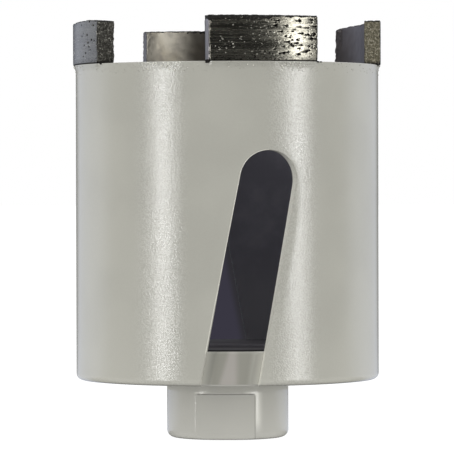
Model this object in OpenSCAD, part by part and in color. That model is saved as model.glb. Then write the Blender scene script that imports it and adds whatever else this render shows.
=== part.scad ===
// Dry diamond core bit for socket boxes and pipe openings, in millimetres.
// The bit stands on its hub: Z = 0 is the hub's end face and the cutting segments point up.
// The front is towards -Y, and every azimuth is measured from there towards +X.

/* [Segments] */
// Cutting diameter over the segments
cutting_d = 68; // [60:0.5:112]
// Number of segments on the rim, evenly spaced
segment_count = 4; // [2:1:6]
// Azimuth of the first segment's middle
segment_azimuth = 14.2; // [-45:0.1:45]
// Length of a segment between its two parallel ends
segment_length = 24; // [12:0.5:28]
// Thickness of a segment
segment_thickness = 3.5; // [3:0.1:4.5]
// Height of a segment above the rim
segment_height = 9.8; // [5:0.1:12]
// How far a segment stands out past the tube, on the radius
segment_proud = 0.64; // [0.3:0.02:1]
// Height of the weld taper that runs from a segment's foot down to the tube
weld_height = 1.45; // [0.4:0.05:3]

/* [Barrel] */
// Wall of the tube
barrel_wall = 2.0; // [1.5:0.1:3]
// Length of the tube from its bottom edge to the rim
barrel_length = 69.06; // [66:0.5:120]
// Rounding of the bottom outer edge, held inside the wall
barrel_edge_r = 1.38; // [0.4:0.02:1.8]

/* [Dust slots] */
// Number of slots, evenly spaced round the tube
slot_count = 2; // [1:1:4]
// Azimuth at which a slot's centre line leaves the bottom edge of the tube
slot_azimuth = 0.72; // [-20:0.02:20]
// Lean of a slot from the tube's axis, measured on the unrolled tube
slot_lean = 11.1; // [0:0.1:20]
// Width across a slot
slot_width = 12.6; // [6:0.2:16]
// Distance from the rim down to the highest point of a slot
slot_to_rim = 18.9; // [14:0.1:30]

/* [Base plate] */
// Thickness of the plate that closes the tube
plate_thickness = 7.4; // [4:0.2:12]
// Chamfer on both edges of the plate
plate_chamfer = 0.4; // [0.1:0.1:1]
// Play between the plate and the bore of the tube, on the radius
plate_play = 0.02; // [0.01:0.01:0.2]

/* [Hub] */
// Outside diameter of the hub
hub_od = 26.8; // [25:0.2:34]
// Length of the hub below the plate
hub_length = 12.8; // [10:0.2:20]
// Rounding of the hub's end
hub_edge_r = 1.74; // [0.4:0.02:2.4]
// Fillet between the hub and the plate
hub_fillet_r = 0.8; // [0.2:0.1:1.2]
// Size across the two wrench flats
flats_across = 23.4; // [21:0.1:24.4]
// Azimuth that the front flat faces
flats_azimuth = -2.2; // [-45:0.1:45]
// Full collar left between the flats and the plate
flats_collar = 2.55; // [1.6:0.05:5]
// Radius that the cutter leaves where a flat ends
flats_root_r = 1.0; // [0.2:0.1:1.6]

/* [Thread] */
// Major diameter of the hub's female thread, at the thread roots
thread_d = 16; // [10:0.5:18]
// Chamfer at both mouths of the thread
thread_chamfer = 0.8; // [0.2:0.1:1]

/* [Hidden] */

$fn = 96;
painted_steel = "#ACACA3";
sintered_metal = "#5E5A56";

segment_r = cutting_d / 2;
segment_inner_r = segment_r - segment_thickness;
segment_pitch = 360 / segment_count;

barrel_r = segment_r - segment_proud;
barrel_bore_r = barrel_r - barrel_wall;
barrel_round_r = min(barrel_edge_r, 0.9 * barrel_wall);

hub_r = hub_od / 2;
flat_distance = flats_across / 2;
flats_top = hub_length - flats_collar;
thread_r = thread_d / 2;

plate_r = barrel_bore_r - plate_play;
plate_bottom = hub_length;
plate_top = plate_bottom + plate_thickness;
rim = plate_bottom + barrel_length;

// How far a cutter runs past the surface that it cuts
past = 3;

// Round end of a slot: its radius, the height of its centre and where its right side meets it
slot_r = slot_width / 2;
slot_end_z = rim - slot_to_rim - slot_r;
slot_turn_z = slot_end_z - slot_r * sin(slot_lean);
slot_start_z = plate_bottom - past;
// Rows of corners up the straight part of a slot and round its end
slot_rows = 14;
slot_arc_rows = 20;
slot_arc_step = (90 + slot_lean) / (slot_arc_rows + 0.5);

// Place of a slot's centre line along the unrolled tube, from the front, at height z
function slot_centre(z) =
    barrel_r * slot_azimuth * PI / 180 + (z - plate_bottom) * tan(slot_lean);

// Half the width of the round end at height z
function slot_cap(z) = sqrt(max(0, pow(slot_r, 2) - pow(z - slot_end_z, 2)));

// Places of a slot's two sides at height z, each straight until it meets the round end
function slot_left(z) =
    z < slot_end_z + slot_r * sin(slot_lean)
        ? slot_centre(z) - slot_r / cos(slot_lean)
        : slot_centre(slot_end_z) - slot_cap(z);
function slot_right(z) =
    z < slot_turn_z
        ? slot_centre(z) + slot_r / cos(slot_lean)
        : slot_centre(slot_end_z) + slot_cap(z);

// Point at radius r, over the place s along the unrolled tube
function on_tube(r, s, z) =
    let (azimuth = s / barrel_r * 180 / PI) [r * sin(azimuth), -r * cos(azimuth), z];

// Heights of the rows: evenly up the straight part, then by equal angles round the end
slot_heights = concat(
    [for (i = [0 : slot_rows - 1])
        slot_start_z + (slot_turn_z - slot_start_z) * i / slot_rows],
    [for (i = [0 : slot_arc_rows])
        slot_end_z + slot_r * sin(slot_arc_step * i - slot_lean)]);

// What the cutter takes out for the front slot. It follows the lean round the tube, and
// both its sides point at the tube's axis.
module slot_cutter() {
    inner = barrel_bore_r - past;
    outer = barrel_r + past;
    corners = [for (z = slot_heights) each [
        on_tube(inner, slot_left(z), z), on_tube(outer, slot_left(z), z),
        on_tube(outer, slot_right(z), z), on_tube(inner, slot_right(z), z)]];
    walls = [for (row = [0 : len(slot_heights) - 2], k = [0 : 3])
        let (a = 4 * row + k, b = 4 * row + (k + 1) % 4)
            each [[a, a + 4, b + 4], [a, b + 4, b]]];
    top = 4 * (len(slot_heights) - 1);
    ends = [[0, 1, 2], [0, 2, 3], [top, top + 2, top + 1], [top, top + 3, top + 2]];
    polyhedron(corners, concat(walls, ends));
}

// Space over the front segment, between its two parallel ends
module segment_space(low, high) {
    translate([-segment_length / 2, -segment_r - past, low])
        cube([segment_length, segment_r + past, high - low]);
}

// What a round of radius r takes off the corner at [x, 0] of a turned section
module edge_round(x, r) {
    difference() {
        translate([x - r, -past]) square(r + past);
        translate([x - r, r]) circle(r);
    }
}

// Half section of the tube
module barrel_section() {
    difference() {
        translate([barrel_bore_r, plate_bottom]) square([barrel_wall, barrel_length]);
        translate([0, plate_bottom]) edge_round(barrel_r, barrel_round_r);
    }
}

// Weld taper under the front segment, from the cutting diameter down to the tube
module weld_taper() {
    root_r = barrel_r - barrel_wall / 2;
    intersection() {
        rotate_extrude()
            polygon([[root_r, rim - weld_height], [barrel_r, rim - weld_height],
                     [segment_r, rim], [root_r, rim]]);
        segment_space(rim - weld_height - past, rim + past);
    }
}

module barrel() {
    color(painted_steel) difference() {
        union() {
            // The revolve's seam lies between two segments
            rotate(segment_azimuth + segment_pitch / 2 - 90) rotate_extrude() barrel_section();
            for (i = [0 : segment_count - 1])
                rotate(segment_azimuth + segment_pitch * i) weld_taper();
        }
        for (i = [0 : slot_count - 1])
            rotate(360 / slot_count * i) slot_cutter();
    }
}

// What the chamfer takes off one edge of the plate
module plate_edge() {
    polygon([[plate_r - plate_chamfer, 0], [plate_r - plate_chamfer - past, -past],
             [plate_r + past, -past], [plate_r + past, plate_chamfer + past]]);
}

// Half section of the hub and the plate, turned from one bar
module base_section() {
    difference() {
        union() {
            translate([0, plate_bottom]) square([plate_r, plate_thickness]);
            square([hub_r, plate_bottom + plate_thickness / 2]);
            translate([hub_r, plate_bottom - hub_fillet_r]) square(hub_fillet_r);
        }
        translate([hub_r + hub_fillet_r, plate_bottom - hub_fillet_r]) circle(hub_fillet_r);
        edge_round(hub_r, hub_edge_r);
    }
}

// Thread hole through hub and plate, with a chamfer at each mouth
module thread_hole() {
    depth = thread_chamfer + past;
    translate([0, 0, -past]) cylinder(r = thread_r, h = plate_top + 2 * past);
    translate([0, 0, -past]) cylinder(r1 = thread_r + depth, r2 = thread_r, h = depth);
    translate([0, 0, plate_top - thread_chamfer])
        cylinder(r1 = thread_r, r2 = thread_r + depth, h = depth);
}

// What the cutter takes off for the front flat, with its radius left in the corner
module flat_cut() {
    corner = [-flat_distance - flats_root_r, flats_top - flats_root_r];
    translate([-hub_od, 0, 0]) rotate([90, 0, 90]) linear_extrude(2 * hub_od)
        difference() {
            translate([-hub_od, -past]) square([hub_od - flat_distance, flats_top + past]);
            difference() {
                translate(corner) square(flats_root_r + past);
                translate(corner) circle(flats_root_r);
            }
        }
}

module threaded_base() {
    color(painted_steel) difference() {
        rotate_extrude() base_section();
        rotate_extrude() translate([0, plate_bottom]) plate_edge();
        rotate_extrude() translate([0, plate_top]) mirror([0, 1]) plate_edge();
        for (side = [0, 180]) rotate(flats_azimuth + side) flat_cut();
        thread_hole();
    }
}

// One sintered segment, seated on the rim: faces concentric with the tube, ends parallel
module segment(index) {
    color(sintered_metal) rotate(segment_azimuth + segment_pitch * index) intersection() {
        translate([0, 0, rim]) difference() {
            cylinder(r = segment_r, h = segment_height);
            translate([0, 0, -past])
                cylinder(r = segment_inner_r, h = segment_height + 2 * past);
        }
        segment_space(rim - past, rim + segment_height + past);
    }
}

barrel();
threaded_base();
for (i = [0 : segment_count - 1])
    segment(i);
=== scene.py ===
# Studio scene of a dry diamond core bit that stands on its hub
import math
import bmesh
import bpy
import numpy as np
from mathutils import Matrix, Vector


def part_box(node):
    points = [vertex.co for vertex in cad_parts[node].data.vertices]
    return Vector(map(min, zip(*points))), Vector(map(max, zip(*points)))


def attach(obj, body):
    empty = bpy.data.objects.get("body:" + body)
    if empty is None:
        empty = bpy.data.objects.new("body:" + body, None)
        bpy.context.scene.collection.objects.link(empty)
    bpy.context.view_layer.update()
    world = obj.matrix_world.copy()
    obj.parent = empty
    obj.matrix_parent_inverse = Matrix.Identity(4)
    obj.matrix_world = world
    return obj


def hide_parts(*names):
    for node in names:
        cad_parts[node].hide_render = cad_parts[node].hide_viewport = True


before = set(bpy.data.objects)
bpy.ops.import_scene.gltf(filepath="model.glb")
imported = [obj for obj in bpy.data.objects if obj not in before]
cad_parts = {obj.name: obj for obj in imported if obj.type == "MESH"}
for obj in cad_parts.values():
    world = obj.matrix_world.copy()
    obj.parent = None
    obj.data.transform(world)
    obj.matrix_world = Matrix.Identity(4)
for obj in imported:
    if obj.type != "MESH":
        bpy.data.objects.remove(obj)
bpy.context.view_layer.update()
print("frame loaded:", ", ".join(sorted(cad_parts)))

mm = 0.001
black = (0.0, 0.0, 0.0, 1.0)
white = (1.0, 1.0, 1.0, 1.0)

# Sizes that the frame gives, in mm
barrelLow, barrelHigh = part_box("barrel")
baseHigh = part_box("threaded_base")[1]
tubeBottomZ = barrelLow.z / mm
rimZ = barrelHigh.z / mm
plateTopZ = baseHigh.z / mm
plateR = baseHigh.x / mm
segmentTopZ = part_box("segment_1")[1].z / mm


# Camera: level with the slots, 800 mm in front, looking along +Y
camera = {
    "distance": 800.0,       # mm from the bit's axis
    "height": 55.5,          # mm above the hub's end
    "focalPixels": 3621.7,   # focal length in pixels of the photograph's frame
    "framePixels": 454,
    "horizonRow": 185.3,     # row of the photograph at the camera's height
    "axisColumn": 227.2,     # column of the bit's axis
    "roll": 0.14,            # degrees
    "sensorWidth": 36,       # mm
    "seen": (0.05, 50),      # m, nearest and farthest
}


def makeCamera(c):
    data = bpy.data.cameras.new("camera")
    data.sensor_width = c["sensorWidth"]
    data.lens = data.sensor_width * c["focalPixels"] / c["framePixels"]
    data.clip_start, data.clip_end = c["seen"]
    eye = bpy.data.objects.new("camera", data)
    middle = c["framePixels"] / 2
    pitch = math.atan((middle - c["horizonRow"]) / c["focalPixels"])
    yaw = math.atan((c["axisColumn"] - middle) / c["focalPixels"])
    eye.location = (0, -c["distance"] * mm, c["height"] * mm)
    eye.rotation_euler = (math.pi / 2 - pitch, math.radians(c["roll"]), yaw)
    bpy.context.scene.collection.objects.link(eye)
    bpy.context.scene.camera = eye


makeCamera(camera)
print("camera placed")


# Shader sums: an expression on sockets adds its Math nodes
class Socket:
    def __init__(self, graph, socket):
        self.graph = graph
        self.socket = socket

    def __add__(self, other):
        return self.graph.sum("ADD", self, other)

    def __radd__(self, other):
        return self.graph.sum("ADD", other, self)

    def __sub__(self, other):
        return self.graph.sum("SUBTRACT", self, other)

    def __rsub__(self, other):
        return self.graph.sum("SUBTRACT", other, self)

    def __mul__(self, other):
        return self.graph.sum("MULTIPLY", self, other)

    def __rmul__(self, other):
        return self.graph.sum("MULTIPLY", other, self)

    def __truediv__(self, other):
        return self.graph.sum("DIVIDE", self, other)

    def __rtruediv__(self, other):
        return self.graph.sum("DIVIDE", other, self)

    def __pow__(self, other):
        return self.graph.sum("POWER", self, other)

    def __rpow__(self, other):
        return self.graph.sum("POWER", other, self)

    def __abs__(self):
        return self.graph.sum("ABSOLUTE", self)


class Graph:
    def __init__(self, tree):
        self.tree = tree
        tree.nodes.clear()

    # Adds a node: its settings first, then the values or links of its sockets
    def node(self, kind, settings=None, inputs=None, output=0):
        made = self.tree.nodes.new("ShaderNode" + kind)
        for name, value in (settings or {}).items():
            setattr(made, name, value)
        for name, value in (inputs or {}).items():
            if isinstance(value, Socket):
                self.tree.links.new(value.socket, made.inputs[name])
            else:
                made.inputs[name].default_value = value
        return Socket(self, made.outputs[output]) if made.outputs else None

    # One Math node, also for what no operator stands for
    def sum(self, operation, first, second=0.0):
        return self.node("Math", {"operation": operation}, {0: first, 1: second})

    def mixColour(self, factor, first, second, blend="MIX"):
        settings = {"data_type": "RGBA", "blend_type": blend}
        return self.node("Mix", settings, {0: factor, 6: first, 7: second}, 2)

    # 0 to 1 as value goes from low to high, also where low is the larger
    def step(self, value, low, high, shape="SMOOTHSTEP"):
        inputs = {"Value": value, "From Min": low, "From Max": high}
        return self.node("MapRange", {"interpolation_type": shape}, inputs)

    # The same between two places in mm
    def over(self, value, low, high):
        return self.step(value, low * mm, high * mm)

    # A place made uneven by a noise, over a width in mm
    def ragged(self, place, uneven, width):
        return place + (uneven - 0.5) * (width * mm)

    # 1 from full to fall, and 0 before start and after end, in mm
    def within(self, value, start, full, fall, end):
        return self.over(value, start, full) * self.over(value, end, fall)

    def larger(self, first, second):
        return self.sum("MAXIMUM", first, second)

    # 1 in front of the bit's axis and -1 behind it
    def side(self, y):
        return self.sum("SIGN", 0 - y)

    def place(self):
        return self.node("TexCoord", output="Object")

    def split(self, vector):
        first = self.node("SeparateXYZ", {}, {0: vector})
        return [Socket(self, s) for s in first.socket.node.outputs]

    # The place in metres, then its x, y and z
    def here(self):
        place = self.place()
        return place, *self.split(place)

    # Place as a noise takes it that has cells of other lengths along x, y and z
    def stretch(self, place, scales):
        return self.node("VectorMath", {"operation": "MULTIPLY"}, {0: place, 1: scales})

    def noise(self, place, scale, detail=2.0, roughness=0.5):
        inputs = {"Vector": place, "Scale": scale, "Detail": detail, "Roughness": roughness}
        return self.node("TexNoise", {}, inputs)

    def bump(self, height, distance, under=None):
        inputs = {"Height": height, "Distance": distance, "Strength": 1.0}
        if under:
            inputs["Normal"] = under
        return self.node("Bump", {}, inputs)

    def ray(self, kind):
        return self.node("LightPath", output="Is %s Ray" % kind)

    def glow(self, colour, strength=1.0):
        return self.node("Emission", {}, {"Color": colour, "Strength": strength})

    def mixShader(self, factor, first, second):
        return self.node("MixShader", {}, {0: factor, 1: first, 2: second})

    def surface(self, colour, roughness, relief, metallic=0.0, specular=0.5):
        return self.node("BsdfPrincipled", {}, {
            "Base Color": colour, "Roughness": roughness, "Normal": relief,
            "Metallic": metallic, "Specular IOR Level": specular})


# Colour picked in display values, 0 to 255, as shader values
def linear(red, green, blue):
    def one(v):
        v = v / 255
        return v / 12.92 if v <= 0.04045 else ((v + 0.055) / 1.055) ** 2.4
    return (one(red), one(green), one(blue), 1.0)


def grey(level):
    return (level, level, level, 1.0)


def toned(colour, share):
    return tuple(v * share for v in colour[:3]) + (1.0,)


def makeMaterial(name, build):
    material = bpy.data.materials.new(name)
    material.use_nodes = True
    graph = Graph(material.node_tree)
    graph.node("OutputMaterial", {}, {"Surface": build(graph)})
    return material


# Piece from points in mm. Where it is welded, faces that fall together on one line are dropped.
def linkPiece(name, points, faces, materials, faceMaterial=None, weld=True):
    mesh = bpy.data.meshes.new(name)
    mesh.from_pydata([Vector(p) * mm for p in points], [], [list(f) for f in faces])
    for material in materials:
        mesh.materials.append(material)
    if faceMaterial is not None:
        mesh.polygons.foreach_set("material_index", np.asarray(faceMaterial, dtype=np.int32))
    edit = bmesh.new()
    edit.from_mesh(mesh)
    if weld:
        bmesh.ops.remove_doubles(edit, verts=edit.verts, dist=1e-7)
        bmesh.ops.dissolve_degenerate(edit, edges=edit.edges, dist=1e-7)
    bmesh.ops.recalc_face_normals(edit, faces=edit.faces)
    for face in edit.faces:
        face.smooth = True
    edit.to_mesh(mesh)
    edit.free()
    piece = bpy.data.objects.new(name, mesh)
    bpy.context.scene.collection.objects.link(piece)
    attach(piece, "root")
    return piece


def evenNormals(piece):
    soft = piece.modifiers.new("normals", "WEIGHTED_NORMAL")
    soft.weight = 80
    soft.keep_sharp = False


# Faces of a grid of points, row after row from the number start on. A closed row meets its start.
def gridFaces(rows, columns, start=0, closed=False):
    i, j = np.meshgrid(np.arange(rows - 1), np.arange(columns - 1 + closed), indexing="ij")
    k = (j + 1) % columns
    corners = [i * columns + j, i * columns + k, (i + 1) * columns + k, (i + 1) * columns + j]
    return (start + np.stack(corners, -1).reshape(-1, 4)).tolist()


# Points at a radius, an azimuth from the front towards +X and a height
def polar(r, azimuth, z):
    return np.stack(np.broadcast_arrays(r * np.sin(azimuth), -r * np.cos(azimuth), z), axis=-1)


def arc(centreX, centreZ, r, start, stop, steps):
    angle = np.radians(np.linspace(start, stop, steps + 1))
    return [(centreX + r * math.cos(a), centreZ + r * math.sin(a)) for a in angle]


def unitBall(subdivisions):
    edit = bmesh.new()
    bmesh.ops.create_icosphere(edit, subdivisions=subdivisions, radius=1.0)
    points = np.array([v.co[:] for v in edit.verts])
    faces = np.array([[v.index for v in f.verts] for f in edit.faces])
    edit.free()
    return points, faces


def scattered(random, count, low, high):
    return low + (high - low) * random.random(count)


# Smooth random relief from 0 to 1 at points in mm, with lumps of one cell each. Three large
# primes turn a cell's corner into a place in the table.
def lumps(points, cell, seed):
    table = np.random.default_rng(seed).random(4096)
    scaled = points / cell
    corner = np.floor(scaled).astype(np.int64)
    part = scaled - corner
    part = part * part * (3 - 2 * part)
    total = 0
    for x in (0, 1):
        for y in (0, 1):
            for z in (0, 1):
                i, j, k = corner[..., 0] + x, corner[..., 1] + y, corner[..., 2] + z
                value = table[(i * 73856093 ^ j * 19349663 ^ k * 83492791) & 4095]
                share = abs(1 - x - part[..., 0]) * abs(1 - y - part[..., 1]) * abs(1 - z - part[..., 2])
                total = total + value * share
    return total


# Paint: fine metallic powder coat, coarser on both flanks of the bit than elsewhere
paint = {
    "colour": linear(169, 168, 159),
    "cloudScale": 60.0,        # cells in a metre, the coat's slow change of tone
    "cloudTones": (0.975, 1.03),
    "grainSize": 0.33,         # mm, the coat's sparkle
    "grainHeight": 0.047,      # mm, where the coat is coarsest
    "grainFrom": 7.5,          # mm, that part's place across the tube
    "grainTo": 20.5,
    "grainFade": 3,            # mm
    "grainLeft": 0.12,         # share of the grain elsewhere
    "rimGrain": 0.20,          # mm, lumps close to the welds
    "rimDepth": 2.6,           # mm below the rim
    "lumpScale": 2400.0,       # lumps in a metre
    "peelSize": 1.6,           # mm, the coat's slow waves
    "peelHeight": 0.002,       # mm
    "roughness": 0.165,
    "coarseRoughness": 0.058,  # added where the coat is coarse
    "roughnessSpread": 0.03,   # between the grains
    "flecks": 0.060,           # share of white and black in the coarse coat's flecks, a painted sparkle where the lamps' highlights fall
    "specular": 0.72,
    "shaded": 0.5,             # colour's share left where shade is painted
    "paintedLight": 1.6,           # colour's share where light is painted
    "mattDarker": 0.045,       # share of black where the coat is matt
    "mattRoughness": 0.6,
    "mattSpecular": 0.1,
}
basePaint = dict(paint, colour=linear(173, 172, 165), paintedLight=1.48, roughness=0.225, flecks=0.0)


# Each of shade, worn and matt gives a share at a place: of painted shade, of painted light and of lost
# gloss
def paintShader(graph, shade, worn, grain=1.0, matt=None, p=paint):
    place, x, y, z = graph.here()
    fine = graph.noise(place, 1 / (p["grainSize"] * mm), 1.0)
    slow = graph.noise(place, 1 / (p["peelSize"] * mm), 1.0)
    cloudy = graph.noise(place, p["cloudScale"])
    lumpy = graph.noise(place, p["lumpScale"])
    dark, light = (toned(p["colour"], tone) for tone in p["cloudTones"])
    colour = graph.mixColour(graph.step(cloudy, 0.35, 0.65), dark, light)
    colour = graph.mixColour(worn(graph, place), colour, toned(p["colour"], p["paintedLight"]))
    colour = graph.mixColour(shade(graph, place), colour, toned(p["colour"], p["shaded"]))
    first, last, fade = p["grainFrom"], p["grainTo"], p["grainFade"]
    coarse = graph.within(abs(x), first, first + fade, last - fade, last)
    coarse = coarse * (1 - p["grainLeft"]) + p["grainLeft"]
    nearRim = graph.over(graph.ragged(z, cloudy, 2.0), rimZ - p["rimDepth"], rimZ)
    relief = graph.bump(slow, p["peelHeight"] * mm * grain)
    relief = graph.bump(lumpy * nearRim * coarse, p["rimGrain"] * mm, relief)
    relief = graph.bump(fine * coarse, p["grainHeight"] * mm * grain, relief)
    # Painted sparkle: white and black flecks in the coarse part, on the flanks where the lamps' highlights
    # fall
    flecks = graph.step(fine, 0.36, 0.64)
    colour = graph.mixColour(flecks * coarse * p["flecks"], colour, white)
    colour = graph.mixColour((1.0 - flecks) * coarse * p["flecks"], colour, black)
    rough = coarse * (p["coarseRoughness"] * grain) + p["roughness"]
    rough = rough + (fine - 0.5) * p["roughnessSpread"]
    glossy = graph.surface(colour, rough, relief, specular=p["specular"])
    if not matt:
        return glossy
    dulled = graph.mixColour(p["mattDarker"], colour, black)
    dull = graph.surface(dulled, p["mattRoughness"], relief, specular=p["mattSpecular"])
    return graph.mixShader(matt(graph, place), glossy, dull)


# Barrel: the tube with its two leaning slots and every edge rounded by the paint
barrel = {
    "outerR": 33.36,      # mm
    "wall": 2.0,
    "bottomRound": 1.38,
    "paintEdge": 0.17,    # rounding of the slots' and rim's edges
    "slotWidth": 12.6,
    "slotLean": 11.1,     # degrees
    "slotAzimuth": 0.72,  # degrees, where a slot's centre line leaves the bottom
    "slotToRim": 18.9,
    "columns": 120,       # faces round half the tube
    "bottomRows": 8,      # faces up the rounded bottom edge
    "straightRows": 16,
    "arcRows": 22,
    "upperRows": 12,
    "roundSteps": 4,
}
slotLean = math.radians(barrel["slotLean"])
slotR = barrel["slotWidth"] / 2
slotEndZ = rimZ - barrel["slotToRim"] - slotR   # middle of a slot's round end
slotStart = barrel["outerR"] * math.radians(barrel["slotAzimuth"])   # along the unrolled tube


# Distance outwards from the front slot's edge, in metres
def fromSlot(graph):
    x, y, z = graph.split(graph.place())
    azimuth = graph.sum("ARCTAN2", x, 0 - y)
    aside = azimuth * (barrel["outerR"] * mm) - slotStart * mm
    aside = aside - (z - tubeBottomZ * mm) * math.tan(slotLean)
    straight = abs(aside * math.cos(slotLean))
    level = aside + (z - slotEndZ * mm) * math.tan(slotLean)
    above = graph.larger(z - slotEndZ * mm, 0.0)
    capped = (level * level + above * above) ** 0.5
    upper = graph.step(z, (slotEndZ - 0.2) * mm, (slotEndZ + 0.2) * mm, "LINEAR")
    return straight + (capped - straight) * upper - slotR * mm


# The coat is matt beside the front slot, where it ran thin, and less so round its upper end
def barrelMatt(graph, place):
    upper = graph.over(graph.split(place)[2], slotEndZ - 9.0, slotEndZ + 1.0)
    return graph.over(fromSlot(graph) + upper * 1.4 * mm, 2.9, 0.9)


# Painted shade: a thin dark line along the tube's bottom edge
def barrelShade(graph, place):
    return graph.over(graph.split(place)[2], tubeBottomZ + 0.42, tubeBottomZ + 0.16) * 0.65


# Painted light: the paint a little paler on the tube's rounded bottom edge
def barrelPaintedLight(graph, place):
    low = tubeBottomZ
    return graph.within(graph.split(place)[2], low + 0.3, low + 0.7, low + 0.9, low + 1.7) * 0.19


# Painted light: the front slot's edges and walls paler, beside the plate only on the right
def edgePaintedLight(graph, place):
    x, y, z = graph.split(place)
    right = graph.over(x - (z - tubeBottomZ * mm) * math.tan(slotLean), 0, 1)
    high = graph.over(z, plateTopZ - 0.5, plateTopZ + 0.2)
    inner = graph.over((x * x + y * y) ** 0.5, 33.0, 31.8) * 0.35 + 0.5
    return high * (1.0 - right) + inner * right


# Bare steel inside the tube: dark mill scale with a little overspray at the rim
bore = {
    "scale": (0.205, 0.20, 0.232, 1.0),
    "rubbed": (0.248, 0.243, 0.275, 1.0),
    "low": (0.29, 0.285, 0.31, 1.0),   # close to the plate
    "lowFrom": 42.0,                   # mm above the hub's end, where that starts
    "lowTo": 24.0,
    "overspray": linear(120, 119, 113),
    "oversprayDepth": 4.0,             # mm below the rim
    # painted shade on the rear slot's walls
    "slotWallAndShade": (0.17, 0.17, 0.185, 1),
}


def boreShader(graph):
    place = graph.place()
    z = graph.split(place)[2]
    patchy = graph.noise(place, 140.0, 4.0, 0.6)
    drawn = graph.noise(graph.stretch(place, (900, 900, 60)), 1.0, 3.0)
    colour = graph.mixColour(graph.step(patchy, 0.4, 0.7), bore["scale"], bore["rubbed"])
    sprayed = graph.over(graph.ragged(z, patchy, 4.0), rimZ - bore["oversprayDepth"], rimZ)
    colour = graph.mixColour(sprayed * 0.8, colour, bore["overspray"])
    colour = graph.mixColour(graph.over(z, bore["lowFrom"], bore["lowTo"]), colour, bore["low"])
    relief = graph.bump(drawn + patchy, 0.02 * mm)
    return graph.surface(colour, 0.5 + patchy * 0.2, relief, metallic=0.4)


# Rear slot's walls: painted shade above the plate, the coat's colour beside it
def wallShader(graph):
    place = graph.place()
    z = graph.split(place)[2]
    patchy = graph.noise(place, 600.0, 3.0, 0.6)
    # Painted shade: the wall turns dark above the plate
    burnt = graph.over(graph.ragged(z, patchy, 0.4), plateTopZ - 0.2, plateTopZ + 0.1)
    colour = graph.mixColour(burnt, paint["colour"], bore["slotWallAndShade"])
    return graph.surface(colour, 0.6 + patchy * 0.2, graph.bump(patchy, 0.02 * mm), specular=0.1)


paintMaterial = makeMaterial(
    "barrelPaint", lambda g: paintShader(g, barrelShade, barrelPaintedLight, matt=barrelMatt))
# Edge paint: paler, as painted light on the front slot's edges and walls and as painted glints on coarse
# spatter
edgeMaterial = makeMaterial("edgePaint", lambda g: paintShader(g, barrelShade, edgePaintedLight, 0.3))
boreMaterial = makeMaterial("boreScale", boreShader)
wallMaterial = makeMaterial("slotWallAndShade", wallShader)
print("barrel's finishes mixed")


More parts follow.
